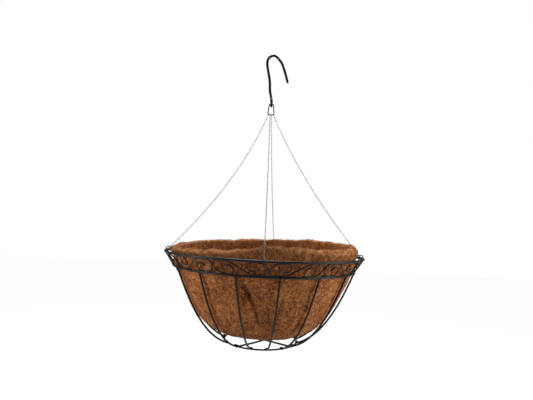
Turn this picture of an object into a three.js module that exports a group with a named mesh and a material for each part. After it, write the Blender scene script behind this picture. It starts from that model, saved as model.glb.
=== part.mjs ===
// Wire hanging basket with a coir liner, four chains and a hook.
// Units are millimetres, +Z is up, and the front faces -Y.
// The model is laid out from the plane of the top ring, then lowered as one group so that
// the origin lies under the crook of the hook, at the point where a bracket carries it.

import * as THREE from 'three';

// Top ring, band ring and base ring: the wire's radius, then each centre line's radius and height.
const RING_WIRE = 1.7;
const BASE_RING_WIRE = 1.4;
const TOP_RING = { radius: 176.1, height: 0 };
const BAND_RING = { radius: 160.6, height: -23.7 };
const BASE_RING = { radius: 64.3, height: -153 };

// Ribs: set out round the bowl by eye, so a few stand some degrees off an even spacing.
const RIB_WIRE = 1.6;
const RIB_COUNT = 16;
const FIRST_RIB_AZIMUTH = 9.6;
const RIB_UNEVENNESS = { 1: 0.6, 2: 2, 10: -3.5, 11: -9, 12: -15, 13: -2.4, 14: -3 };
// How far the tops of the front ribs lean round the bowl from their feet, in degrees.
const RIB_LEAN = { 0: -0.9, 1: -1.4, 2: -1.5, 14: 1.6, 15: -1.5 };
const RIB_END_GAP = 0.9;
const RIB_TOP = [BAND_RING.radius, BAND_RING.height - RING_WIRE - RIB_END_GAP];
const RIB_BULGE_HIGH = [132.5, -95];
const RIB_BULGE_LOW = [103, -141];
const RIB_FOOT = [BASE_RING.radius + BASE_RING_WIRE + RIB_END_GAP, BASE_RING.height];

// Base bars: two slightly bowed wires that cross inside the base ring.
const BAR_END_HEIGHT = -154.2;
const BASE_BARS = [
  { name: 'upper', azimuth: 56.6, centreHeight: -152.9 },
  { name: 'lower', azimuth: -38.4, centreHeight: -156.4 },
];

// Scrolls: S-shaped wires that fill the band between the two upper rings. They sit a little
// closer together in front than behind, where the band was closed.
const SCROLL_WIRE = 1.1;
const SCROLL_COUNT = 12;
const SCROLL_EDGE_AZIMUTH = 2.8;
const SCROLL_CROWDING = 2.86;
const SCROLL_GAP = 2.2;
// Half a scroll, from the inner end of its lower spiral out to where the diagonal starts:
// distance along the band from the scroll's middle, and height as a share of half the band.
const HALF_SCROLL = [
  [27, 0.07],
  [22.5, -0.3],
  [16.5, -0.4],
  [12, -0.14],
  [11, 0.37],
  [13, 0.84],
  [19.5, 1],
  [30, 0.92],
  [37, 0.56],
  [40.6, -0.1],
  [39.8, -0.7],
  [35, -1],
  [24, -1],
  [16, -0.92],
];

// Chains: each runs from the gather ring to a wire clip on the top ring, and sags a little.
const CHAIN_RADIUS = 0.9;
const CHAIN_TOP_HEIGHT = 254.6;
const CHAIN_FOOT = [171.8, 4.3];
const CHAINS = [
  { name: 'front', azimuth: 0, top: [-1.4, -2.2], sag: [58, 130] },
  { name: 'right', azimuth: 90, top: [4.4, 0], sag: [61, 134] },
  { name: 'back', azimuth: 173, top: [1.4, 2.2], sag: [58, 130] },
  { name: 'left', azimuth: 270, top: [-4.4, 0], sag: [55, 126] },
];
const CLIP_WIRE = 0.7;
const CLIP_RADIUS = 3.5;
const CLIP_LIFT = 0.8;

// Gather ring and hook.
const GATHER_WIRE = 1;
const HOOK_WIRE = 2.4;
const EYE_CENTRE_HEIGHT = 279.5;
const EYE_RADIUS = 5.5;
const CROOK_TOP_HEIGHT = 370.5;

const GAP = 0.3;
const DEGREE = Math.PI / 180;

// How finely each kind of wire is divided.
const WIRE_SIDES = 6;
const THICK_WIRE_SIDES = 8;
const LARGE_RING_SEGMENTS = 72;
const BASE_RING_SEGMENTS = 36;
const RIB_STEPS = 12;
const SCROLL_STEPS = 44;
const BAR_STEPS = 8;
const CHAIN_STEPS = 12;
const GATHER_STEPS = 34;
const HOOK_STEPS = 52;
const CLIP_SEGMENTS = 16;
const LINER_SEGMENTS = 36;

const blackSteel = new THREE.MeshStandardMaterial({ color: 0x17181a, roughness: 0.45, metalness: 0.4 });
const zincChain = new THREE.MeshStandardMaterial({ color: 0x6c6e70, roughness: 0.35, metalness: 0.9 });
const coir = new THREE.MeshStandardMaterial({ color: 0x8a4f26, roughness: 0.95, metalness: 0 });

const basket = new THREE.Group();

function add(name, geometry, material) {
  const mesh = new THREE.Mesh(geometry, material);
  mesh.name = name;
  basket.add(mesh);
}

// A point at a radius and height, at an azimuth in degrees that grows from the front to +X.
function polar(radius, azimuth, height) {
  const angle = azimuth * DEGREE;
  return new THREE.Vector3(radius * Math.sin(angle), -radius * Math.cos(angle), height);
}

// A round wire with closed ends, along a curve.
function wire(curve, radius, sides, steps) {
  const section = new THREE.Shape();
  for (let side = 0; side < sides; side++) {
    const angle = (2 * Math.PI * side) / sides;
    const x = radius * Math.cos(angle);
    const y = radius * Math.sin(angle);
    if (side === 0) section.moveTo(x, y);
    else section.lineTo(x, y);
  }
  section.closePath();
  return new THREE.ExtrudeGeometry(section, { steps, bevelEnabled: false, extrudePath: curve });
}

// A level ring of round wire about the vertical axis.
function levelRing({ radius, height }, wireRadius, segments, sides) {
  const profile = [];
  for (let side = 0; side <= sides; side++) {
    const angle = (2 * Math.PI * (side % sides)) / sides;
    profile.push(new THREE.Vector2(radius + wireRadius * Math.cos(angle), wireRadius * Math.sin(angle)));
  }
  const ring = new THREE.LatheGeometry(profile, segments);
  ring.rotateX(Math.PI / 2);
  ring.translate(0, 0, height);
  return ring;
}

// One rib, from just under the band ring to just outside the base ring.
function ribCurve(azimuth, lean) {
  const points = [RIB_TOP, RIB_BULGE_HIGH, RIB_BULGE_LOW, RIB_FOOT];
  const [top, high, low, foot] = points.map(([radius, height], place) =>
    polar(radius, azimuth + lean * (1 - place / 3), height),
  );
  return new THREE.CubicBezierCurve3(top, high, low, foot);
}

// One base bar, from one inner side of the base ring to the other.
function baseBarCurve({ azimuth, centreHeight }) {
  const reach = BASE_RING.radius - BASE_RING_WIRE - 2 * GAP;
  const near = polar(reach, azimuth, BAR_END_HEIGHT);
  const far = polar(-reach, azimuth, BAR_END_HEIGHT);
  return new THREE.CatmullRomCurve3([near, new THREE.Vector3(0, 0, centreHeight), far]);
}

// The band is a cone between the upper rings. Here u runs round it and v runs up its slant.
const bandRadius = (TOP_RING.radius + BAND_RING.radius) / 2;
const bandHeight = (TOP_RING.height + BAND_RING.height) / 2;
const bandRun = TOP_RING.radius - BAND_RING.radius;
const bandRise = TOP_RING.height - BAND_RING.height;
const bandSlant = Math.hypot(bandRun, bandRise);

function onBand(azimuth, u, v) {
  const radius = bandRadius + (v * bandRun) / bandSlant;
  return polar(radius, azimuth + u / bandRadius / DEGREE, bandHeight + (v * bandRise) / bandSlant);
}

// One S-scroll: a spiral at the lower end, a diagonal, and the same spiral turned half round.
// hand is 1 for a scroll whose diagonal falls to the right, and -1 for its mirror image.
function scrollCurve(azimuth, hand) {
  const halfHeight = bandSlant / 2 - RING_WIRE - SCROLL_WIRE - SCROLL_GAP;
  const half = HALF_SCROLL.map(([along, share]) => [along, halfHeight * share]);
  const whole = [...half, [0, 0], ...half.map(([u, v]) => [-u, -v]).reverse()];
  return new THREE.CatmullRomCurve3(whole.map(([u, v]) => onBand(azimuth, hand * u, v)));
}

// The liner is a bowl of pressed coir fibre, wedged in the band ring and clear of the ribs below it.
// Its lip stands above the top ring and leans in under the chains.
function linerGeometry() {
  const outer = new THREE.CubicBezierCurve(
    new THREE.Vector2(0, -141),
    new THREE.Vector2(104, -141),
    new THREE.Vector2(109, -127),
    new THREE.Vector2(157.2, -24),
  );
  const inner = new THREE.CubicBezierCurve(
    new THREE.Vector2(148, -22),
    new THREE.Vector2(102, -119),
    new THREE.Vector2(97, -132),
    new THREE.Vector2(0, -132),
  );
  const lip = [
    [162.6, -6],
    [164.8, 2],
    [163.6, 9],
    [157, 17],
    [152.5, 17],
    [151, 8],
  ].map(([radius, height]) => new THREE.Vector2(radius, height));
  const profile = [...outer.getPoints(9), ...lip, ...inner.getPoints(8)];
  const liner = new THREE.LatheGeometry(profile, LINER_SEGMENTS);
  liner.rotateX(Math.PI / 2);
  return liner;
}

// A chain as a plain round cord of its outer size, hanging in the upright plane of its azimuth.
function chainCurve({ azimuth, top, sag }) {
  const start = new THREE.Vector3(top[0], top[1], CHAIN_TOP_HEIGHT);
  const middle = polar(sag[0], azimuth, sag[1]);
  const end = polar(CHAIN_FOOT[0], azimuth, CHAIN_FOOT[1]);
  return new THREE.QuadraticBezierCurve3(start, middle, end);
}

// A clip is a closed wire loop threaded by the top ring.
function clipGeometry(azimuth) {
  const clip = new THREE.TorusGeometry(CLIP_RADIUS, CLIP_WIRE, WIRE_SIDES, CLIP_SEGMENTS);
  clip.rotateX(Math.PI / 2);
  clip.translate(TOP_RING.radius, 0, CLIP_LIFT);
  clip.rotateZ((azimuth - 90) * DEGREE);
  return clip;
}

// The gather ring is a tall wire loop with a round top over the eye and a level bar below.
function gatherRingGeometry() {
  const rightSide = [
    [3.4, 276.4],
    [4.2, 273.6],
    [5, 266],
    [5.6, 260.2],
    [4.8, 257.8],
    [2.6, 257],
  ];
  const leftSide = rightSide.map(([x, z]) => [-x, z]).reverse();
  const eyeFloor = EYE_CENTRE_HEIGHT - EYE_RADIUS + HOOK_WIRE;
  const outline = [[0, eyeFloor + GATHER_WIRE + GAP], ...rightSide, ...leftSide];
  const curve = new THREE.CatmullRomCurve3(outline.map(([x, z]) => new THREE.Vector3(x, 0, z)), true);
  return new THREE.TubeGeometry(curve, GATHER_STEPS, GATHER_WIRE, WIRE_SIDES, true);
}

// The hook: crook and shank in the XZ plane, and a bent eye in the YZ plane.
function hookGeometry() {
  const crook = [
    [28.1, 321],
    [25, 332],
    [20.6, 345],
    [16.2, 356],
    [10.4, 363.6],
    [5.4, 368.6],
    [0, CROOK_TOP_HEIGHT],
    [-6.9, 367.4],
    [-10.9, 360.5],
    [-11, 351],
    [-8.3, 337.3],
    [-5, 320],
    [-3.9, 303],
    [-1.6, 291.5],
  ].map(([x, z]) => new THREE.Vector3(x, 0, z));
  const eye = [];
  for (let angle = 50; angle >= -230; angle -= 20) {
    const y = EYE_RADIUS * Math.cos(angle * DEGREE);
    eye.push(new THREE.Vector3(0, y, EYE_CENTRE_HEIGHT + EYE_RADIUS * Math.sin(angle * DEGREE)));
  }
  return wire(new THREE.CatmullRomCurve3([...crook, ...eye]), HOOK_WIRE, THICK_WIRE_SIDES, HOOK_STEPS);
}

const twoDigits = (number) => String(number).padStart(2, '0');

add('top_ring', levelRing(TOP_RING, RING_WIRE, LARGE_RING_SEGMENTS, WIRE_SIDES), blackSteel);
add('band_ring', levelRing(BAND_RING, RING_WIRE, LARGE_RING_SEGMENTS, WIRE_SIDES), blackSteel);
add('base_ring', levelRing(BASE_RING, BASE_RING_WIRE, BASE_RING_SEGMENTS, WIRE_SIDES), blackSteel);

for (let index = 0; index < SCROLL_COUNT; index++) {
  const even = ((index - 0.5) * 360) / SCROLL_COUNT;
  const azimuth = SCROLL_EDGE_AZIMUTH + even - SCROLL_CROWDING * Math.sin(even * DEGREE);
  const hand = index % 2 === 0 ? 1 : -1;
  const geometry = wire(scrollCurve(azimuth, hand), SCROLL_WIRE, WIRE_SIDES, SCROLL_STEPS);
  add(`scroll_${twoDigits(index + 1)}`, geometry, blackSteel);
}

for (let index = 0; index < RIB_COUNT; index++) {
  const azimuth = FIRST_RIB_AZIMUTH + (index * 360) / RIB_COUNT + (RIB_UNEVENNESS[index] ?? 0);
  const curve = ribCurve(azimuth, RIB_LEAN[index] ?? 0);
  add(`rib_${twoDigits(index + 1)}`, wire(curve, RIB_WIRE, WIRE_SIDES, RIB_STEPS), blackSteel);
}

for (const bar of BASE_BARS) {
  add(`base_bar_${bar.name}`, wire(baseBarCurve(bar), RIB_WIRE, WIRE_SIDES, BAR_STEPS), blackSteel);
}

add('coir_liner', linerGeometry(), coir);

for (const chain of CHAINS) {
  add(`chain_${chain.name}`, wire(chainCurve(chain), CHAIN_RADIUS, THICK_WIRE_SIDES, CHAIN_STEPS), zincChain);
  add(`chain_clip_${chain.name}`, clipGeometry(chain.azimuth), blackSteel);
}

add('gather_ring', gatherRingGeometry(), blackSteel);
add('hook', hookGeometry(), blackSteel);

basket.position.z = HOOK_WIRE - CROOK_TOP_HEIGHT;

export default basket;
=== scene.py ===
import math

import bpy
import numpy as np
from mathutils import Matrix, Vector, noise


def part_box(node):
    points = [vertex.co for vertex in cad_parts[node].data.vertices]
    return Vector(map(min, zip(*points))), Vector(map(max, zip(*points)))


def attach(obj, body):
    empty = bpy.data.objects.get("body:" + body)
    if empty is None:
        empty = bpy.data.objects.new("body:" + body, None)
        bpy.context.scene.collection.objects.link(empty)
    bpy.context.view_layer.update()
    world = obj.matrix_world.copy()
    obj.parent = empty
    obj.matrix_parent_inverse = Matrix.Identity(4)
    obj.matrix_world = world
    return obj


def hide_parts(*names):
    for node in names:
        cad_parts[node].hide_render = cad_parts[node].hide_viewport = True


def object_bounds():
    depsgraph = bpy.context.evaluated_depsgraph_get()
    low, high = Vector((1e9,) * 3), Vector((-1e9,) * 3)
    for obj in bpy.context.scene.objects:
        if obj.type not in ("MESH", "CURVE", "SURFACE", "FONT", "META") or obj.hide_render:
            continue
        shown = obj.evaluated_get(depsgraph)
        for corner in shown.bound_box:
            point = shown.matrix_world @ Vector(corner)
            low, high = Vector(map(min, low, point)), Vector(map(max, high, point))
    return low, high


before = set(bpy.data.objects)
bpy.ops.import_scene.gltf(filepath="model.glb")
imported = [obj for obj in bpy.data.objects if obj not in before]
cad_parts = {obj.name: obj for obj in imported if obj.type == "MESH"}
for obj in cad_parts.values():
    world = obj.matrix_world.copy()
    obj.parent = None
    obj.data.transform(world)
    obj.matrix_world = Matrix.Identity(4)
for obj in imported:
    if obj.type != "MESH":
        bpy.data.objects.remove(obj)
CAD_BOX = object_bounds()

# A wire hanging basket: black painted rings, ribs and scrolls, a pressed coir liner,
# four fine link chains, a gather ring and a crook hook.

MM = 0.001
DEGREE = math.pi / 180
FULL_TURN = 2 * math.pi
TINY = 1e-9


# ---------------------------------------------------------------- sizes

# Wire radii.
RING_WIRE = 1.7 * MM
BASE_RING_WIRE = 1.4 * MM
RIB_WIRE = 1.6 * MM
SCROLL_WIRE = 1.1 * MM
CLIP_WIRE = 0.9 * MM
GATHER_WIRE = 1.0 * MM
HOOK_WIRE = 2.4 * MM
LINK_WIRE = 0.28 * MM


def ring_size(node, wire):
    """Centre line radius and height of a level ring."""
    low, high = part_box(node)
    return high.x - wire, (low.z + high.z) / 2


TOP_RADIUS, TOP_HEIGHT = ring_size("top_ring", RING_WIRE)
BAND_RADIUS, BAND_HEIGHT = ring_size("band_ring", RING_WIRE)
BASE_RADIUS, BASE_HEIGHT = ring_size("base_ring", BASE_RING_WIRE)
LOWEST = CAD_BOX[0].z


def polar(radius, azimuth, height):
    """A point at an azimuth in degrees, from the front towards +X."""
    angle = azimuth * DEGREE
    return np.array([radius * math.sin(angle), -radius * math.cos(angle), height])


def from_top(height_mm):
    """A height in millimetres above the top ring's plane, in the row frame."""
    return TOP_HEIGHT + height_mm * MM


# ---------------------------------------------------------------- camera

CAMERA_DISTANCE = 0.741
CAMERA_ABOVE_RING = 0.0473
CAMERA_PITCH = 3.88 * DEGREE
CAMERA_ROLL = 2.69 * DEGREE
CAMERA_YAW = -0.06 * DEGREE
CAMERA_LENS = 27.29
CAMERA_SENSOR = 36


def make_camera():
    level = Vector((math.sin(CAMERA_YAW), math.cos(CAMERA_YAW), 0))
    forward = level * math.cos(CAMERA_PITCH) + Vector((0, 0, math.sin(CAMERA_PITCH)))
    right = Vector((math.cos(CAMERA_YAW), -math.sin(CAMERA_YAW), 0))
    up = right.cross(forward)
    rolled_right = math.cos(CAMERA_ROLL) * right + math.sin(CAMERA_ROLL) * up
    rolled_up = math.cos(CAMERA_ROLL) * up - math.sin(CAMERA_ROLL) * right
    axes = Matrix((rolled_right, rolled_up, -forward)).transposed()
    place = (0, -CAMERA_DISTANCE, TOP_HEIGHT + CAMERA_ABOVE_RING)
    camera = bpy.data.objects.new("camera", bpy.data.cameras.new("camera"))
    camera.data.lens = CAMERA_LENS
    camera.data.sensor_width = CAMERA_SENSOR
    camera.matrix_world = Matrix.Translation(place) @ axes.to_4x4()
    bpy.context.collection.objects.link(camera)
    bpy.context.scene.camera = camera


# ---------------------------------------------------------------- studio

# Each soft box: x, y and height above the top ring, diameter in metres, power in watts.
SOFTBOXES = {
    "softbox_left": ((-1.25, -0.5, 0.12), 0.7, 15.5),
    "softbox_right": ((1.25, -0.45, 0.12), 0.7, 18),
    "softbox_above": ((0, 0.6, 1.2), 0.8, 30),
}
LIGHTS_AIM_BELOW_RING = 0.05

# Brightness that the camera sees, and brightness that lights the basket.
SKY_GLOW = (1.0, 0.17)
FLOOR_GLOW = (0.84, 0.05)
FLOOR_GREY = (0.8, 0.8, 0.8, 1)
FLOOR_REACH = 9
FLOOR_BELOW_BASKET = 0.75


def make_softboxes():
    bowl = Vector((0, 0, TOP_HEIGHT - LIGHTS_AIM_BELOW_RING))
    for name, ((x, y, above), diameter, power) in SOFTBOXES.items():
        light = bpy.data.lights.new(name, "AREA")
        light.shape = "DISK"
        light.size = diameter
        light.energy = power
        holder = bpy.data.objects.new(name, light)
        holder.location = (x, y, TOP_HEIGHT + above)
        holder.rotation_mode = "QUATERNION"
        holder.rotation_quaternion = (bowl - holder.location).to_track_quat("-Z", "Y")
        bpy.context.collection.objects.link(holder)


def make_sky():
    world = bpy.data.worlds.new("studio")
    bpy.context.scene.world = world
    world.use_nodes = True
    sky = NodeTree(world.node_tree)
    background = world.node_tree.nodes["Background"]
    background.inputs["Strength"].default_value = 1
    sky.link(sky.glow(*SKY_GLOW), background.inputs["Color"])


def make_floor():
    height = LOWEST - FLOOR_BELOW_BASKET
    turns = ((-1, -1), (1, -1), (1, 1), (-1, 1))
    corners = [(x * FLOOR_REACH, y * FLOOR_REACH, height) for x, y in turns]
    mesh = bpy.data.meshes.new("floor")
    mesh.from_pydata(corners, [], [(0, 1, 2, 3)])
    floor = bpy.data.objects.new("floor", mesh)
    bpy.context.collection.objects.link(floor)
    paint = Finish("floor_paint", base_color=FLOOR_GREY, roughness=0.9, emission_strength=1)
    paint.feed(emission_color=paint.glow(*FLOOR_GLOW))
    mesh.materials.append(paint.material)


def make_studio():
    make_softboxes()
    make_sky()
    make_floor()
    bpy.context.scene.view_settings.view_transform = "Standard"


# ---------------------------------------------------------------- node making

class Signal:
    """A node's output, with arithmetic that adds Math nodes."""

    def __init__(self, owner, socket):
        self.owner = owner
        self.socket = socket

    def math(self, operation, first, second):
        settings = {"operation": operation}
        return self.owner.node("ShaderNodeMath", settings, {0: first, 1: second})

    def larger(self, other):
        return self.math("MAXIMUM", self, other)

    def __add__(self, other):
        return self.math("ADD", self, other)

    def __sub__(self, other):
        return self.math("SUBTRACT", self, other)

    def __rsub__(self, other):
        return self.math("SUBTRACT", other, self)

    def __mul__(self, other):
        return self.math("MULTIPLY", self, other)

    __radd__ = __add__
    __rmul__ = __mul__


class NodeTree:
    """A node tree, and the one way that nodes are added to it."""

    def __init__(self, tree):
        self.tree = tree

    def link(self, signal, socket):
        self.tree.links.new(signal.socket, socket)

    def node(self, kind, settings=None, inputs=None, output=0):
        """A node of a kind: its settings first, then the values or links of its sockets."""
        made = self.tree.nodes.new(kind)
        for key, value in (settings or {}).items():
            if key == "stops":
                self.set_stops(made.color_ramp, value)
            else:
                setattr(made, key, value)
        for key, value in (inputs or {}).items():
            if isinstance(value, Signal):
                self.link(value, made.inputs[key])
            else:
                made.inputs[key].default_value = value
        return Signal(self, made.outputs[output])

    def set_stops(self, ramp, stops):
        while len(ramp.elements) < len(stops):
            ramp.elements.new(1)
        for element, (position, colour) in zip(ramp.elements, stops):
            element.position = position
            element.color = (*colour, 1)

    def mix(self, factor, first, second):
        """A colour that goes from the first to the second."""
        inputs = {0: factor, 6: first, 7: second}
        return self.node("ShaderNodeMix", {"data_type": "RGBA"}, inputs, output=2)

    def glow(self, seen, unseen):
        """A grey of one brightness for the camera, and another for the light it gives."""
        straight = self.node("ShaderNodeLightPath", output="Is Camera Ray")
        return self.mix(straight, (unseen, unseen, unseen, 1), (seen, seen, seen, 1))


class Finish(NodeTree):
    """One procedural material, built round a Principled shader."""

    def __init__(self, name, **constants):
        self.material = bpy.data.materials.new(name)
        self.material.use_nodes = True
        super().__init__(self.material.node_tree)
        self.shader = self.tree.nodes["Principled BSDF"]
        self.place = self.node("ShaderNodeTexCoord", output="Object")
        for key, value in constants.items():
            self.shader_input(key).default_value = value

    def shader_input(self, key):
        return self.shader.inputs[key.replace("_", " ").title().replace("Ior", "IOR")]

    def feed(self, **signals):
        for key, signal in signals.items():
            self.link(signal, self.shader_input(key))

    def grain(self, scale, detail=3, rough=0.55, vector=None):
        """Noise from 0 to 1. scale is in cycles per metre."""
        inputs = {"Vector": vector or self.place, "Scale": scale, "Detail": detail}
        return self.node("ShaderNodeTexNoise", None, {**inputs, "Roughness": rough})

    def turned(self, rotation, stretch, vector=None):
        """The place vector, turned and then stretched."""
        inputs = {"Vector": vector or self.place, "Rotation": rotation, "Scale": stretch}
        return self.node("ShaderNodeMapping", {"vector_type": "TEXTURE"}, inputs)

    def ramp(self, signal, stops):
        return self.node("ShaderNodeValToRGB", {"stops": stops}, {"Fac": signal})

    def spread(self, signal, low, high, to_low=0.0, to_high=1.0):
        """A signal stretched so that low to high covers to_low to to_high."""
        inputs = {"Value": signal, "From Min": low, "From Max": high}
        return self.node("ShaderNodeMapRange", None, {**inputs, "To Min": to_low, "To Max": to_high})

    def bump(self, height, strength, distance):
        inputs = {"Height": height, "Strength": strength, "Distance": distance}
        return self.node("ShaderNodeBump", None, inputs)

    def share(self, name):
        """A share that is stored on the mesh's points."""
        return self.node("ShaderNodeAttribute", {"attribute_name": name}, output="Fac")


# ---------------------------------------------------------------- finishes

COIR_DUST = (0.06, 0.035, 0.022, 1)
ZINC_TONES = [(0.3, (0.16, 0.16, 0.165)), (0.7, (0.42, 0.42, 0.42))]
COIR_TONES = [
    (0.40, (0.040, 0.010, 0.003)),
    (0.475, (0.135, 0.041, 0.012)),
    (0.54, (0.255, 0.090, 0.027)),
    (0.64, (0.47, 0.20, 0.068)),
]
COIR_PIT = (0.045, 0.012, 0.004, 1)
COIR_FIBRE_END = (0.50, 0.225, 0.08, 1)

# Crossing layers of pressed fibre: turn of the layer, width and length of its streaks.
COIR_LAYERS = [
    ((0.5, 0.9, 0.2), 1.1 * MM, 14 * MM),
    ((1.9, 0.3, 1.1), 1.3 * MM, 12 * MM),
    ((2.6, 2.2, 0.7), 1.0 * MM, 10 * MM),
]
FIBRE_WARP_SCALE = 45.0
FIBRE_WARP = 0.02

# Dark and light colour of each kind of loose strand.
STRAND_COLOURS = {
    "dark_strand": ((0.035, 0.009, 0.003), (0.10, 0.03, 0.010)),
    "brown_strand": ((0.15, 0.05, 0.015), (0.28, 0.105, 0.034)),
    "straw_strand": ((0.33, 0.14, 0.048), (0.50, 0.25, 0.095)),
}


def black_paint(name, base, rough_low, rough_high):
    """Satin black paint over steel wire, with faint runs and a little brown coir dust."""
    finish = Finish(name, coat_weight=0.03, coat_roughness=0.25, specular_ior_level=0.17)
    blotch = finish.grain(55, detail=4)
    runs = finish.grain(340)
    dust = finish.spread(finish.grain(900, detail=2) * blotch, 0.3, 0.5, 0, 0.16)
    thick = (base, base, base * 1.05)
    thin = (base * 1.9, base * 1.85, base * 1.9)
    paint = finish.ramp(blotch, [(0.3, thick), (0.7, thin)])
    wear = finish.spread(runs * 0.5 + blotch * 0.5, 0.35, 0.65, rough_low, rough_high)
    relief = runs * 0.6 + finish.grain(1500, detail=2) * 0.4
    finish.feed(base_color=finish.mix(dust, paint, COIR_DUST), roughness=wear)
    finish.feed(normal=finish.bump(relief, 0.5, 0.12 * MM))
    return finish.material


def zinc_plate():
    """Dull zinc on chain wire, mottled from grey to bright."""
    finish = Finish("zinc_plate", metallic=0.85)
    finish.feed(base_color=finish.ramp(finish.grain(420, detail=4), ZINC_TONES))
    finish.feed(roughness=finish.spread(finish.grain(1600, detail=2), 0.3, 0.7, 0.28, 0.5))
    finish.feed(normal=finish.bump(finish.grain(2600, detail=2), 0.4, 0.05 * MM))
    return finish.material


def matted_fibre(finish, turn, width, length):
    """Long thin streaks in one direction, bent by a slow warp."""
    inputs = {"Vector": finish.place, "Scale": FIBRE_WARP_SCALE, "Detail": 2.0}
    warp = finish.node("ShaderNodeTexNoise", None, inputs, output=1)
    inputs = {0: warp, 1: (FIBRE_WARP, FIBRE_WARP, FIBRE_WARP), 2: finish.place}
    bent = finish.node("ShaderNodeVectorMath", {"operation": "MULTIPLY_ADD"}, inputs)
    return finish.grain(1, 2, 0.5, finish.turned(turn, (width, width, length), bent))


def pressed_coir():
    """Coconut fibre felt: crossing streaks, brown patches, dark pits and paler fibre ends, a painted
    highlight on the lip's top and painted shade down the folds.
    """
    finish = Finish("pressed_coir", specular_ior_level=0.08)
    first, second, third = (matted_fibre(finish, *layer) for layer in COIR_LAYERS)
    fibre = first.larger(second).larger(third)
    patch = finish.grain(30, detail=4, rough=0.6)
    mottle = finish.grain(170, rough=0.6)
    speck = finish.grain(420, rough=0.7)
    tone = fibre * 0.3 + patch * 0.22 + mottle * 0.23 + speck * 0.25
    # Painted highlight: the lip's top is paler, partly for pale frayed fibre and partly for light
    # falling on it, and painted shade keeps it darker at the front.
    # Painted shade: the felt is darker down the folds.
    tone = tone + finish.share("frayed") * 0.155 - finish.share("fold") * 0.055
    pits = finish.spread(finish.grain(360, 1, 0.5), 0.58, 0.68, 0, 0.85)
    elsewhere = finish.turned((1, 2, 3), (1, 1, 1))
    ends = finish.spread(finish.grain(310, 1, 0.5, elsewhere), 0.58, 0.70, 0, 0.6)
    felt = finish.mix(ends, finish.ramp(tone, COIR_TONES), COIR_FIBRE_END)
    finish.feed(base_color=finish.mix(pits, felt, COIR_PIT))
    finish.feed(roughness=finish.spread(fibre, 0.3, 0.8, 0.98, 0.8))
    finish.feed(normal=finish.bump(fibre * 0.6 + speck * 0.2 + mottle * 0.2, 0.9, 1.2 * MM))
    return finish.material


def loose_fibre(name, dark, light):
    """A single coir strand, paler along some stretches."""
    finish = Finish(name, specular_ior_level=0.15)
    finish.feed(base_color=finish.ramp(finish.grain(160, rough=0.6), [(0.35, dark), (0.65, light)]))
    finish.feed(roughness=finish.spread(finish.grain(800, detail=2), 0.3, 0.7, 0.6, 0.85))
    finish.feed(normal=finish.bump(finish.grain(2500, detail=2), 0.5, 0.05 * MM))
    return finish.material


# ---------------------------------------------------------------- routes

def smooth_route(points, per_span=8, closed=False):
    """A Catmull-Rom curve through the points."""
    points = [np.asarray(point, float) for point in points]
    count = len(points)
    route = []
    for index in range(count if closed else count - 1):
        if closed:
            before, start, end, after = (points[(index + step) % count] for step in (-1, 0, 1, 2))
        else:
            start, end = points[index], points[index + 1]
            before = points[index - 1] if index else 2 * start - end
            after = points[index + 2] if index + 2 < count else 2 * end - start
        slope = end - before
        curve = 2 * before - 5 * start + 4 * end - after
        turn = 3 * start - before - 3 * end + after
        for t in np.arange(per_span) / per_span:
            route.append(0.5 * (2 * start + slope * t + curve * t * t + turn * t ** 3))
    if not closed:
        route.append(points[-1])
    return np.array(route)


def bezier(controls, count):
    """Points on a Bezier curve of any degree."""
    t = np.linspace(0, 1, count)[:, None]
    degree = len(controls) - 1
    terms = [
        math.comb(degree, k) * (1 - t) ** (degree - k) * t ** k * np.asarray(control)
        for k, control in enumerate(controls)
    ]
    return sum(terms)


def even_route(route, spacing):
    """The route again, with points at an even spacing along it."""
    route = np.asarray(route)
    steps = np.linalg.norm(np.diff(route, axis=0), axis=1)
    along = np.concatenate([[0], np.cumsum(steps)])
    count = max(2, int(round(along[-1] / spacing)) + 1)
    wanted = np.linspace(0, along[-1], count)
    return np.stack([np.interp(wanted, along, route[:, axis]) for axis in range(3)], axis=1)


def unit(vectors):
    """The vectors at a length of 1."""
    return vectors / np.linalg.norm(vectors, axis=-1, keepdims=True)


def route_frames(route, closed=False):
    """Tangents and two sideways directions that don't spin along the route."""
    if closed:
        tangents = unit(np.roll(route, -1, axis=0) - np.roll(route, 1, axis=0))
    else:
        tangents = unit(np.gradient(route, axis=0))
    steep = abs(tangents[0][2]) >= 0.9
    side = np.cross(tangents[0], [1.0, 0, 0] if steep else [0, 0, 1.0])
    sides = []
    for tangent in tangents:
        side = unit(side - tangent * side.dot(tangent))
        sides.append(side)
    sides = np.array(sides)
    if closed:
        last = sides[-1] - tangents[0] * sides[-1].dot(tangents[0])
        twist = math.atan2(last.dot(np.cross(tangents[0], sides[0])), last.dot(sides[0]))
        undo = -twist * np.arange(len(route))[:, None] / len(route)
        sides = np.cos(undo) * sides + np.sin(undo) * np.cross(tangents, sides)
    return tangents, sides, np.cross(tangents, sides)


# ---------------------------------------------------------------- meshes

DOME_TILTS = np.array([85, 60, 30]) * DEGREE
BEAD_SIDES = 12
BEAD_LEVELS = 7
BEAD_SWELL = 0.22
BEAD_LUMPS = 1.6


def tube_faces(rings, sides, closed=False):
    """Quads between neighbouring rings of points, with the last joined to the first if closed."""
    faces = []
    for ring in range(rings if closed else rings - 1):
        here, there = ring * sides, ((ring + 1) % rings) * sides
        for side in range(sides):
            other = (side + 1) % sides
            faces.append((here + side, here + other, there + other, there + side))
    return faces


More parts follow.
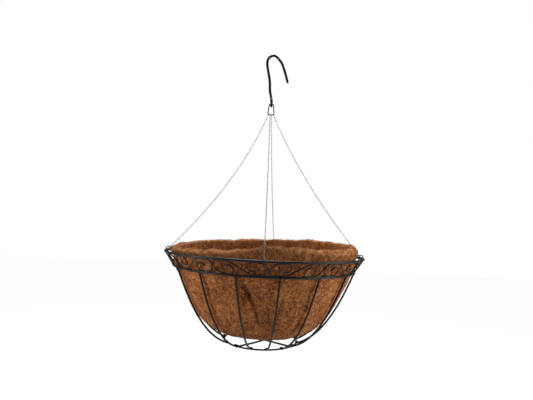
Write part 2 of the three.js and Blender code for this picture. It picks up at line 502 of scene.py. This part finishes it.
def round_wire(route, radius, sides=12, closed=False):
    """A smooth wire along a route, with domed ends unless it closes on itself."""
    route = np.asarray(route)
    tangents, across, upright = route_frames(route, closed)
    radii = np.full(len(route), radius)
    if not closed:
        reach = radius * np.sin(DOME_TILTS)[:, None]
        width = radius * np.cos(DOME_TILTS)
        front = route[0] - tangents[0] * reach
        back = route[-1] + tangents[-1] * reach[::-1]
        route = np.vstack([front, route, back])
        radii = np.concatenate([width, radii, width[::-1]])
        ends = ((len(DOME_TILTS), len(DOME_TILTS)), (0, 0))
        across = np.pad(across, ends, "edge")
        upright = np.pad(upright, ends, "edge")
    angles = (np.arange(sides) * FULL_TURN / sides)[None, :, None]
    turn = np.cos(angles) * across[:, None, :] + np.sin(angles) * upright[:, None, :]
    vertices = (route[:, None, :] + radii[:, None, None] * turn).reshape(-1, 3)
    rings = len(route)
    faces = tube_faces(rings, sides, closed)
    if not closed:
        faces.append(tuple(range(sides))[::-1])
        faces.append(tuple((rings - 1) * sides + side for side in range(sides)))
    return vertices, faces


def weld_bead(centre, size, seed):
    """A small uneven lump of weld. size is its radius and its stretch along x, y and z."""
    radius, stretch = size
    shift = Vector((seed, 3.1 * seed, 7.7))
    ways = [Vector((0, 0, 1))]
    for level in range(1, BEAD_LEVELS):
        tilt = math.pi * level / BEAD_LEVELS
        for step in range(BEAD_SIDES):
            angle = FULL_TURN * step / BEAD_SIDES
            flat = math.sin(tilt)
            ways.append(Vector((flat * math.cos(angle), flat * math.sin(angle), math.cos(tilt))))
    ways.append(Vector((0, 0, -1)))
    swells = [1 + BEAD_SWELL * noise.noise(way * BEAD_LUMPS + shift) for way in ways]
    vertices = np.asarray(centre) + radius * np.array(swells)[:, None] * np.array(ways) * stretch
    last_ring = 1 + (BEAD_LEVELS - 2) * BEAD_SIDES
    faces = []
    for step in range(BEAD_SIDES):
        other = (step + 1) % BEAD_SIDES
        faces.append((0, 1 + step, 1 + other))
        for start in range(1, last_ring, BEAD_SIDES):
            below = start + BEAD_SIDES
            faces.append((start + step, below + step, below + other, start + other))
        faces.append((last_ring + step, len(ways) - 1, last_ring + other))
    return vertices, faces


def make_piece(name, parts, materials, body, nodes=()):
    """One shown piece from (vertices, faces) parts, which may also give the place of their material."""
    all_vertices, all_faces, all_materials, start = [], [], [], 0
    for vertices, faces, *material in parts:
        all_vertices.append(vertices)
        all_faces += [tuple(start + index for index in face) for face in faces]
        all_materials += (material or [0]) * len(faces)
        start += len(vertices)
    mesh = bpy.data.meshes.new(name)
    mesh.from_pydata(np.concatenate(all_vertices).tolist(), [], all_faces)
    for material in materials:
        mesh.materials.append(material)
    mesh.polygons.foreach_set("material_index", all_materials)
    mesh.polygons.foreach_set("use_smooth", [True] * len(all_faces))
    mesh.validate()
    made = bpy.data.objects.new(name, mesh)
    bpy.context.collection.objects.link(made)
    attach(made, body)
    if nodes:
        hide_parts(*nodes)
    return made


# ---------------------------------------------------------------- rings, ribs and base bars

# Weld beads: radius, and stretch along x, y and z.
RIB_HEAD_BEAD = (2.35 * MM, (1, 1, 0.9))
RIB_FOOT_BEAD = (2.6 * MM, (1.35, 1.35, 0.95))
BAR_END_BEAD = (2.9 * MM, (1.3, 1.3, 0.8))
BAR_CROSSING_BEAD = (2.2 * MM, (1.1, 1.1, 0.8))
SCROLL_BEAD = (1.6 * MM, (1.3, 1.3, 0.8))
GATHER_BEAD = (1.25 * MM, (0.9, 0.9, 1.4))
RING_SEAM_SWELL = 1.2
RING_SEAM_STRETCH = (1.3, 0.95, 0.95)
RING_SEAM_AZIMUTH = 200
RIB_HEAD_BEAD_DROP = 1.3 * MM
RIB_FOOT_BEAD_OUT = 1.6 * MM
RIB_FOOT_BEAD_LIFT = 1.5 * MM
BAR_END_BEAD_IN = 1 * MM
BAR_END_BEAD_LIFT = 1.2 * MM
BAR_CROSSING_DROP = 1.7
# Each bead's lumps differ by its seed.
RING_SEAM_SEED = 5
RIB_FOOT_SEED = 30
BAR_CROSSING_SEED = 9
GATHER_SEED = 2

RIB_COUNT = 16
RIB_POINTS = 44
FIRST_RIB_AZIMUTH = 9.6
# Degrees that a rib stands off its even place, and that its head leans to the side.
RIB_UNEVENNESS = {1: 0.6, 2: 2, 10: -3.5, 11: -9, 12: -15, 13: -2.4, 14: -3}
RIB_LEAN = {0: -0.9, 1: -1.4, 2: -1.5, 14: 1.6, 15: -1.5}
# Radius and height of the two points that shape a rib's curve, in millimetres.
RIB_BULGE_HIGH = (132.5, -95)
RIB_BULGE_LOW = (103, -141)

# Azimuth of each bar, and height of its middle in millimetres.
BASE_BARS = {"upper": (56.6, -152.9), "lower": (-38.4, -156.4)}
BAR_END_HEIGHT = from_top(-154.2)
BAR_REACH = BASE_RADIUS - 1.0 * MM


def make_wire_piece(name, parts, paint):
    """A black piece of the basket that stands for the CAD node of the same name."""
    make_piece(f"{name}_wire", parts, [paint], "basket", [name])


def make_rings(paint):
    for name, radius, height, wire in (
        ("top_ring", TOP_RADIUS, TOP_HEIGHT, RING_WIRE),
        ("band_ring", BAND_RADIUS, BAND_HEIGHT, RING_WIRE),
        ("base_ring", BASE_RADIUS, BASE_HEIGHT, BASE_RING_WIRE),
    ):
        count = max(120, int(radius / MM) * 2)
        route = [polar(radius, 360 * step / count, height) for step in range(count)]
        seam = polar(radius, RING_SEAM_AZIMUTH, height)
        bead = weld_bead(seam, (wire * RING_SEAM_SWELL, RING_SEAM_STRETCH), RING_SEAM_SEED)
        make_wire_piece(name, [round_wire(route, wire, sides=14, closed=True), bead], paint)


def make_ribs(paint):
    (high_radius, high), (low_radius, low) = RIB_BULGE_HIGH, RIB_BULGE_LOW
    for index in range(RIB_COUNT):
        azimuth = FIRST_RIB_AZIMUTH + index * 360 / RIB_COUNT + RIB_UNEVENNESS.get(index, 0)
        lean = RIB_LEAN.get(index, 0)
        controls = [
            polar(BAND_RADIUS, azimuth + lean, BAND_HEIGHT),
            polar(high_radius * MM, azimuth + lean * 2 / 3, from_top(high)),
            polar(low_radius * MM, azimuth + lean / 3, from_top(low)),
            polar(BASE_RADIUS, azimuth, BASE_HEIGHT),
        ]
        head = polar(BAND_RADIUS, azimuth + lean, BAND_HEIGHT - RIB_HEAD_BEAD_DROP)
        foot = polar(BASE_RADIUS + RIB_FOOT_BEAD_OUT, azimuth, BASE_HEIGHT + RIB_FOOT_BEAD_LIFT)
        parts = [
            round_wire(bezier(controls, RIB_POINTS), RIB_WIRE),
            weld_bead(head, RIB_HEAD_BEAD, index),
            weld_bead(foot, RIB_FOOT_BEAD, index + RIB_FOOT_SEED),
        ]
        make_wire_piece(f"rib_{index + 1:02d}", parts, paint)


def make_base_bars(paint):
    for name, (azimuth, centre) in BASE_BARS.items():
        start = polar(BAR_REACH, azimuth, BAR_END_HEIGHT)
        end = polar(-BAR_REACH, azimuth, BAR_END_HEIGHT)
        route = smooth_route([start, (0, 0, from_top(centre)), end], per_span=24)
        parts = [round_wire(route, RIB_WIRE)]
        for turn in (0, 180):
            height = BAR_END_HEIGHT + BAR_END_BEAD_LIFT
            bead = polar(BAR_REACH - BAR_END_BEAD_IN, azimuth + turn, height)
            parts.append(weld_bead(bead, BAR_END_BEAD, azimuth + turn))
        if name == "upper":
            crossing = (0, 0, from_top(centre - BAR_CROSSING_DROP))
            parts.append(weld_bead(crossing, BAR_CROSSING_BEAD, BAR_CROSSING_SEED))
        make_wire_piece(f"base_bar_{name}", parts, paint)


# ---------------------------------------------------------------- scrolled band

SCROLL_COUNT = 12
SCROLL_EDGE_AZIMUTH = 2.8
SCROLL_CROWDING = 2.86
SCROLL_SPACING = 1.6 * MM
SCROLL_SINK = 0.25 * MM
SCROLL_BEAD_UP = 0.8 * MM
# Half a scroll: distance along the band in millimetres, and height as a share of half the band.
HALF_SCROLL = [
    (27, 0.07), (22.5, -0.3), (16.5, -0.4), (12, -0.14), (11, 0.37), (13, 0.84), (19.5, 1),
    (30, 0.92), (37, 0.56), (40.6, -0.1), (39.8, -0.7), (35, -1), (24, -1), (16, -0.92),
]
# Where half a scroll touches the rings: distance along the band, and side of the band.
SCROLL_TOUCHES = ((29 * MM, -1), (20 * MM, 1))

BAND_RUN = TOP_RADIUS - BAND_RADIUS
BAND_RISE = TOP_HEIGHT - BAND_HEIGHT
BAND_SLANT = math.hypot(BAND_RUN, BAND_RISE)
BAND_MIDDLE_RADIUS = (TOP_RADIUS + BAND_RADIUS) / 2
BAND_MIDDLE_HEIGHT = (TOP_HEIGHT + BAND_HEIGHT) / 2


def on_band(azimuth, along, up):
    """A point of the cone between the two upper rings, from its middle line."""
    radius = BAND_MIDDLE_RADIUS + up * BAND_RUN / BAND_SLANT
    height = BAND_MIDDLE_HEIGHT + up * BAND_RISE / BAND_SLANT
    return polar(radius, azimuth + along / BAND_MIDDLE_RADIUS / DEGREE, height)


def make_scrolls(paint):
    half_height = BAND_SLANT / 2 - RING_WIRE - SCROLL_WIRE + SCROLL_SINK
    half = [(along * MM, share * half_height) for along, share in HALF_SCROLL]
    flat = half + [(0, 0)] + [(-along, -up) for along, up in reversed(half)]
    for index in range(SCROLL_COUNT):
        even = (index - 0.5) * 360 / SCROLL_COUNT
        azimuth = SCROLL_EDGE_AZIMUTH + even - SCROLL_CROWDING * math.sin(even * DEGREE)
        hand = 1 if index % 2 == 0 else -1
        route = smooth_route([on_band(azimuth, hand * along, up) for along, up in flat])
        parts = [round_wire(even_route(route, SCROLL_SPACING), SCROLL_WIRE, sides=10)]
        for end in (-1, 1):
            for along, edge in SCROLL_TOUCHES:
                up = end * edge * (half_height + SCROLL_BEAD_UP)
                touch = on_band(azimuth, end * hand * along, up)
                parts.append(weld_bead(touch, SCROLL_BEAD, index * 4 + end + 2 * edge))
        make_wire_piece(f"scroll_{index + 1:02d}", parts, paint)


# ---------------------------------------------------------------- hook and gather ring

# The crook from its tip to its shank: x, and height above the top ring, in millimetres.
CROOK = [
    (28.1, 321), (25, 332), (20.6, 345), (16.2, 356), (10.4, 363.6), (5.4, 368.6), (0, 370.5),
    (-6.9, 367.4), (-10.9, 360.5), (-11, 351), (-8.3, 337.3), (-5, 320), (-3.9, 303), (-1.6, 291.5),
]
EYE_RADIUS = 5.5 * MM
EYE_HEIGHT = from_top(279.5)
EYE_ANGLES = range(50, -231, -20)
HOOK_SPACING = 1.2 * MM

# The gather ring's right side from top to bottom: x and height in millimetres.
GATHER_SIDE = [(3.4, 276.4), (4.2, 273.6), (5, 266), (5.6, 260.2), (4.8, 257.8), (2.6, 257)]
GATHER_TOP = (0, 277.7)
GATHER_SEAM = (5.1, 264)


def upright_point(x, height):
    """A point in the crook's plane, from millimetres."""
    return np.array([x * MM, 0, from_top(height)])


def make_hook(paint):
    points = [upright_point(x, height) for x, height in CROOK]
    for angle in EYE_ANGLES:
        y = EYE_RADIUS * math.cos(angle * DEGREE)
        points.append(np.array([0, y, EYE_HEIGHT + EYE_RADIUS * math.sin(angle * DEGREE)]))
    route = even_route(smooth_route(points, per_span=10), HOOK_SPACING)
    wire = round_wire(route, HOOK_WIRE, sides=20)
    make_piece("hook_wire", [wire], [paint], "hook", ["hook"])


def make_gather_ring(paint):
    left_side = [(-x, height) for x, height in reversed(GATHER_SIDE)]
    points = [upright_point(x, height) for x, height in [GATHER_TOP, *GATHER_SIDE, *left_side]]
    wire = round_wire(smooth_route(points, closed=True), GATHER_WIRE, closed=True)
    parts = [wire, weld_bead(upright_point(*GATHER_SEAM), GATHER_BEAD, GATHER_SEED)]
    make_piece("gather_ring_wire", parts, [paint], "gather_ring", ["gather_ring"])


# ---------------------------------------------------------------- chains and clips

# Each chain: its azimuth, the x and y of its top, and the radius and height of its sag.
CHAINS = {
    "front": (0, (-1.4, -2.2), (58, 130)),
    "right": (90, (4.4, 0), (61, 134)),
    "back": (173, (1.4, 2.2), (58, 130)),
    "left": (270, (-4.4, 0), (55, 126)),
}
CHAIN_TOP_HEIGHT = from_top(257.2)
CHAIN_FOOT_RADIUS = TOP_RADIUS - 3 * MM
CHAIN_FOOT_HEIGHT = from_top(3.2)
CHAIN_SAMPLES = 400
LINK_HALF_LENGTH = 2.0 * MM
LINK_HALF_WIDTH = 0.75 * MM
LINK_TURN = 109 * DEGREE
LINK_PITCH = 2 * (LINK_HALF_LENGTH - LINK_WIRE)
LINK_POINTS = 20

CLIP_RADIUS = 3.6 * MM
CLIP_LIFT = 0.8 * MM
CLIP_ANGLES = range(90, -216, -18)
CLIP_TAIL = [(-9 * MM, 3.0 * MM), (-5 * MM, CLIP_RADIUS)]
CLIP_SPLIT = 2.4 * MM
CLIP_SPACING = 0.7 * MM


def link_template():
    """One link in its own frame: long along X, open along Y."""
    straight = LINK_HALF_LENGTH - LINK_HALF_WIDTH
    route = []
    for step in range(LINK_POINTS):
        angle = FULL_TURN * step / LINK_POINTS
        x = LINK_HALF_WIDTH * math.cos(angle) + math.copysign(straight, math.cos(angle))
        route.append((x, LINK_HALF_WIDTH * math.sin(angle), 0))
    return round_wire(route, LINK_WIRE, sides=8, closed=True)


def make_chains(zinc):
    link_vertices, link_faces = link_template()
    for side, (azimuth, (top_x, top_y), (sag_radius, sag_height)) in CHAINS.items():
        start = np.array([top_x * MM, top_y * MM, CHAIN_TOP_HEIGHT])
        middle = polar(sag_radius * MM, azimuth, from_top(sag_height))
        end = polar(CHAIN_FOOT_RADIUS, azimuth, CHAIN_FOOT_HEIGHT)
        centres = even_route(bezier([start, middle, end], CHAIN_SAMPLES), LINK_PITCH)
        parts = []
        for number, (tangent, across, upright) in enumerate(zip(*route_frames(centres))):
            spin = LINK_TURN * number
            flat = math.cos(spin) * across + math.sin(spin) * upright
            axes = np.stack([tangent, flat, np.cross(tangent, flat)])
            parts.append((centres[number] + link_vertices @ axes, link_faces))
        make_piece(f"chain_{side}_links", parts, [zinc], "basket", [f"chain_{side}"])


def make_clips(paint):
    """Split wire loops round the top ring, each with a short tail that points in over the liner."""
    outline = list(CLIP_TAIL)
    for angle in CLIP_ANGLES:
        outline.append((CLIP_RADIUS * math.cos(angle * DEGREE), CLIP_RADIUS * math.sin(angle * DEGREE)))
    for side, (azimuth, _, _) in CHAINS.items():
        outward = polar(1, azimuth, 0)
        along = polar(1, azimuth + 90, 0)
        centre = polar(TOP_RADIUS, azimuth, TOP_HEIGHT + CLIP_LIFT)
        points = []
        for number, (reach, rise) in enumerate(outline):
            shift = (number / len(outline) - 0.5) * CLIP_SPLIT
            points.append(centre + reach * outward + [0, 0, rise] + shift * along)
        route = even_route(smooth_route(points, per_span=6), CLIP_SPACING)
        make_wire_piece(f"chain_clip_{side}", [round_wire(route, CLIP_WIRE, sides=10)], paint)


# ---------------------------------------------------------------- coir liner, in millimetres

LINER_COLUMNS = 420
LINER_OUTSIDE = [(0, -141), (104, -141), (109, -127), (157.4, -24)]
LINER_INSIDE = [(148, -22), (102, -119), (97, -132), (0, -132)]

# Rows of the lip from outside to inside: radius, share of the bulge, height, share of the lip's height.
LIP_ROWS = [
    (160.8, 0.1, -12, 0),
    (161.6, 0.2, -3, 0),
    (163.2, 0.5, 0, 0.22),
    (165.4, 0.9, 0, 0.48),
    (165.8, 1, 0, 0.7),
    (163.0, 1, 0, 0.9),
    (158.2, 1, 0, 1.03),
    (153.9, 1, 0, 0.95),
    (152.2, 0.9, 0, 0.68),
    (150.8, 0.5, 0, 0.2),
    (149.8, 0.2, -8, 0),
]
LINER_OUTSIDE_ROWS = 22
LINER_INSIDE_ROWS = 20
ROWS_BETWEEN = 4
LIP_MEAN_HEIGHT = 15
LIP_SLOPE = 7.5
LIP_HIGHEST_AZIMUTH = 130
# High and low places of the lip, and where it bulges outwards: azimuth, width in degrees, size.
LIP_CRESTS = [(7, 24, 8.5), (-29, 3, 3.5), (143, 6, 3.5), (-86, 12, -2.5)]
LIP_BULGES = [(98, 6, 7.5), (81, 9, -2.0), (-72, 9, 2.5), (-102, 9, 3.0), (40, 12, 1.5), (200, 16, 2)]
CHAIN_PINCH = -3.5
CHAIN_PINCH_WIDTH = 8
# Small waves of the lip: size, count round the rim, start.
LIP_HEIGHT_WAVES = [(0.45, 17, 1), (0.36, 29, 2)]
LIP_PUSH_WAVES = [(0.6, 11, 0), (0.4, 23, 1)]
# The lip's paler frayed fibre and painted highlight start at a share of its height, grow over a further
# share, and lie outside a radius.
FRAY_AND_LIGHT_START = 0.35
FRAY_AND_LIGHT_GROWTH = 0.45
FRAY_AND_LIGHT_RADIUS = 153
FRAY_AND_LIGHT_EDGE = 3
# Where painted shade keeps the lip darker instead of paler: azimuth, width in degrees, loss.
LIP_PAINTED_SHADE = [(3, 18, 1.25), (95, 30, 0.3)]

# Folds: azimuth and height of the top end and of the bottom end, width in degrees, depth.
FOLDS = [
    ((-14.5, -20), (-6.5, -62), 1.9, 3.6),
    ((-9.5, -42), (-1.0, -102), 1.4, 4.0),
    ((13, -30), (9.5, -116), 1.3, 1.2),
    ((62, -30), (50, -75), 1.2, 1.0),
    ((118, -28), (131, -84), 1.0, 1.8),
    ((-70, -40), (-62, -100), 1.3, 1.2),
    ((208, -35), (198, -88), 1.1, 1.6),
]
DEEPEST_FOLD = 4.0
FLAT_BOTTOM_RADIUS = 60

# Lumps of the felt: height and span.
FELT_LUMPS = [(0.9, 26), (0.7, 9), (0.45, 3.6)]
LIP_LUMPINESS = 1.5
LIP_FOOT = -2


def around(azimuth, centre, width):
    """A smooth bump of 1 at an azimuth, falling off over width degrees."""
    gap = (azimuth - centre + 180) % 360 - 180
    return np.exp(-((gap / width) ** 2))


def bumps(azimuth, table):
    """The sum of bumps from (azimuth, width, size) rows."""
    return sum(size * around(azimuth, centre, width) for centre, width, size in table)


def waves(azimuth, table):
    """The sum of waves round the rim from (size, count, start) rows."""
    return sum(size * np.sin(azimuth * DEGREE * count + start) for size, count, start in table)


def lip_height(azimuth):
    """How far the lip stands above the top ring."""
    height = LIP_MEAN_HEIGHT + LIP_SLOPE * np.cos((azimuth - LIP_HIGHEST_AZIMUTH) * DEGREE)
    return height + bumps(azimuth, LIP_CRESTS) + waves(azimuth, LIP_HEIGHT_WAVES)


def lip_push(azimuth):
    """How far the lip bulges out of its even circle: it bulges between the chains."""
    pinches = [(chain[0], CHAIN_PINCH_WIDTH, CHAIN_PINCH) for chain in CHAINS.values()]
    return bumps(azimuth, LIP_BULGES + pinches) + waves(azimuth, LIP_PUSH_WAVES)


def liner_profile(azimuth):
    """Outer bottom, wall, lip, inner wall and inner bottom as (radius, height) rows."""
    top = lip_height(azimuth)
    push = lip_push(azimuth)
    rows = [(r + 0 * top, z + 0 * top) for r, z in bezier(LINER_OUTSIDE, LINER_OUTSIDE_ROWS)]
    rows += [(r + bulge * push, z + rise * top) for r, bulge, z, rise in LIP_ROWS]
    rows += [(r + 0 * top, z + 0 * top) for r, z in bezier(LINER_INSIDE, LINER_INSIDE_ROWS)]
    return [np.stack(row, -1) for row in rows]


def fold_depth(azimuth, height):
    """Folds pressed into the bowl: a long slanting one in front, and shorter ones round about."""
    depth = np.zeros_like(azimuth)
    for (top_azimuth, top), (low_azimuth, low), width, deep in FOLDS:
        share = np.clip((height - top) / (low - top), 0, 1)
        middle = top_azimuth + (low_azimuth - top_azimuth) * share
        depth = depth + deep * np.sin(math.pi * share) ** 0.5 * around(azimuth, middle, width)
    return depth


def fray_and_lip_light(azimuth, height, radius):
    """How pale the lip is, from frayed fibre and a painted highlight: 1 over the top of the lip, and
    less where painted shade keeps it darker.
    """
    raised = np.clip((height / lip_height(azimuth) - FRAY_AND_LIGHT_START) / FRAY_AND_LIGHT_GROWTH, 0, 1)
    outside = np.clip((radius - FRAY_AND_LIGHT_RADIUS) / FRAY_AND_LIGHT_EDGE, 0, 1)
    return raised * outside * (1 - bumps(azimuth, LIP_PAINTED_SHADE))


def felt_lump(point):
    return sum(height * noise.noise(Vector(point) / span) for height, span in FELT_LUMPS)


def liner_surface():
    """The liner's grid of points in metres, its outward normals, and shares of fold depth, for painted
    shade, and of frayed fibre and painted highlight on the lip.
    """
    azimuth = np.arange(LINER_COLUMNS) * 360 / LINER_COLUMNS
    rows = smooth_route(liner_profile(azimuth), ROWS_BETWEEN)
    radius, height = rows[..., 0], rows[..., 1]
    turn = np.broadcast_to(azimuth, radius.shape)
    folds = fold_depth(turn, height) * (radius > FLAT_BOTTOM_RADIUS)
    frayed = fray_and_lip_light(turn, height, radius)
    radius = radius - folds
    grid = np.stack([radius * np.sin(turn * DEGREE), -radius * np.cos(turn * DEGREE), height], -1)
    down = np.gradient(grid, axis=0)
    along = np.roll(grid, -1, axis=1) - np.roll(grid, 1, axis=1)
    normals = np.cross(along, down)
    length = np.linalg.norm(normals, axis=-1, keepdims=True)
    normals = np.where(length > TINY, normals / np.maximum(length, TINY), [0, 0, -1])
    lumps = np.array([felt_lump(point) for point in grid.reshape(-1, 3)]).reshape(radius.shape)
    lumps = lumps * np.where(height > LIP_FOOT, LIP_LUMPINESS, 1.0)
    grid = grid + normals * lumps[..., None]
    grid[0], grid[-1] = grid[0].mean(0), grid[-1].mean(0)
    grid = grid * MM
    grid[..., 2] += TOP_HEIGHT
    return grid, normals, {"fold": folds / DEEPEST_FOLD, "frayed": frayed}


def make_bowl(coir, grid, shares):
    """The felt: the grid closed at its outer and its inner bottom, with its shares on the points."""
    rows, columns = grid.shape[:2]
    vertices = np.vstack([grid[0][:1], grid[1:-1].reshape(-1, 3), grid[-1][:1]])
    last = len(vertices) - 1
    last_ring = 1 + (rows - 3) * columns
    faces = []
    for column in range(columns):
        other = (column + 1) % columns
        faces.append((0, 1 + other, 1 + column))
        for start in range(1, last_ring, columns):
            below = start + columns
            faces.append((start + column, start + other, below + other, below + column))
        faces.append((last_ring + column, last_ring + other, last))
    bowl = make_piece("coir_bowl", [(vertices, faces)], [coir], "basket", ["coir_liner"])
    for name, share in shares.items():
        values = bowl.data.attributes.new(name, "FLOAT", "POINT")
        values.data.foreach_set("value", np.concatenate([[0], share[1:-1].ravel(), [0]]))


# ---------------------------------------------------------------- loose coir strands

STRAND_SEED = 14
STRAND_COUNT = 13000
LIP_CROWDING = 4.0
STRAND_TAPER = np.array([0.45, 0.9, 1.0, 0.9, 0.45])
STRAND_SIDES = 3
STRAND_ANGLES = [FULL_TURN * side / STRAND_SIDES for side in range(STRAND_SIDES)]
# Shares of dark, brown and straw strands.
LIP_KINDS = [0.1, 0.35, 0.55]
WALL_KINDS = [0.35, 0.4, 0.25]
STRAND_FACES = tube_faces(len(STRAND_TAPER), STRAND_SIDES) + [(2, 1, 0), (12, 13, 14)]
# Millimetres: a strand's length, its lift off the felt, its extra lift on the lip, its radius.
STRAND_LENGTH = (5, 17)
STRAND_LIFT = (0.1, 0.9)
LIP_STRAND_LIFT = (0, 1.1)
STRAND_RADIUS = (0.10, 0.24)
STRAND_BEND = 0.22
LIP_STRAND_SHORTENING = 0.6


def strand_vertices(route, thick, normal):
    """A three-sided fibre with tapered ends."""
    tangent = np.gradient(route, axis=0)
    across = unit(np.cross(tangent, normal))
    upright = unit(np.cross(across, tangent))
    taper = thick * STRAND_TAPER[:, None]
    sides = [
        route + taper * (math.cos(angle) * across + math.sin(angle) * upright)
        for angle in STRAND_ANGLES
    ]
    return np.stack(sides, axis=1).reshape(-1, 3)


def coir_strands(grid, normals):
    """Single fibres that lie on the felt, and stand out of it along the lip."""
    draw = np.random.default_rng(STRAND_SEED)
    count = STRAND_COUNT
    rows, columns = grid.shape[:2]
    lip_rows = grid[..., 2].mean(1) > from_top(LIP_FOOT)
    weight = np.hypot(grid[..., 0], grid[..., 1]).mean(1) + 2 * MM
    weight = weight * np.where(lip_rows, LIP_CROWDING, 1.0)
    row = draw.choice(rows, count, p=weight / weight.sum())
    column = draw.integers(0, columns, count)
    place = grid[row, column]
    normal = normals[row, column]
    on_lip = lip_rows[row]
    way = draw.normal(size=(count, 3))
    way = unit(way - normal * (way * normal).sum(1, keepdims=True))
    side = np.cross(normal, way)
    length = draw.uniform(*STRAND_LENGTH, count) * MM
    length = length * np.where(on_lip, LIP_STRAND_SHORTENING, 1.0)
    bend = draw.normal(0, STRAND_BEND, count)
    lift = draw.uniform(*STRAND_LIFT, count) * MM
    lift = lift + on_lip * draw.uniform(*LIP_STRAND_LIFT, count) * MM
    thick = draw.uniform(*STRAND_RADIUS, count) * MM
    lip_kind = draw.choice(3, count, p=LIP_KINDS)
    wall_kind = draw.choice(3, count, p=WALL_KINDS)
    kind = np.where(on_lip, lip_kind, wall_kind)
    # From -0.5 to 0.5 along each strand, which bows sideways and arches off the felt.
    share = np.linspace(-0.5, 0.5, len(STRAND_TAPER))[:, None]
    for index in range(count):
        run = share * length[index]
        curl = bend[index] * length[index] * (4 * share ** 2 - 0.3)
        rise = lift[index] * (1 - 3.2 * share ** 2)
        route = place[index] + run * way[index] + curl * side[index] + rise * normal[index]
        yield strand_vertices(route, thick[index], normal[index]), STRAND_FACES, int(kind[index])


def make_liner(coir, strand_finishes):
    grid, normals, shares = liner_surface()
    make_bowl(coir, grid, shares)
    fibres = list(coir_strands(grid, normals))
    for name, half in (("coir_strands_one", fibres[0::2]), ("coir_strands_two", fibres[1::2])):
        make_piece(name, half, strand_finishes, "basket")


# ---------------------------------------------------------------- the basket

make_camera()
make_studio()

frame_paint = black_paint("frame_paint", 0.004, 0.3, 0.5)
hook_paint = black_paint("hook_paint", 0.004, 0.28, 0.42)

make_rings(frame_paint)
make_ribs(frame_paint)
make_base_bars(frame_paint)
make_scrolls(frame_paint)
make_hook(hook_paint)
make_gather_ring(frame_paint)
make_clips(frame_paint)
make_chains(zinc_plate())
make_liner(pressed_coir(), [loose_fibre(name, *tones) for name, tones in STRAND_COLOURS.items()])
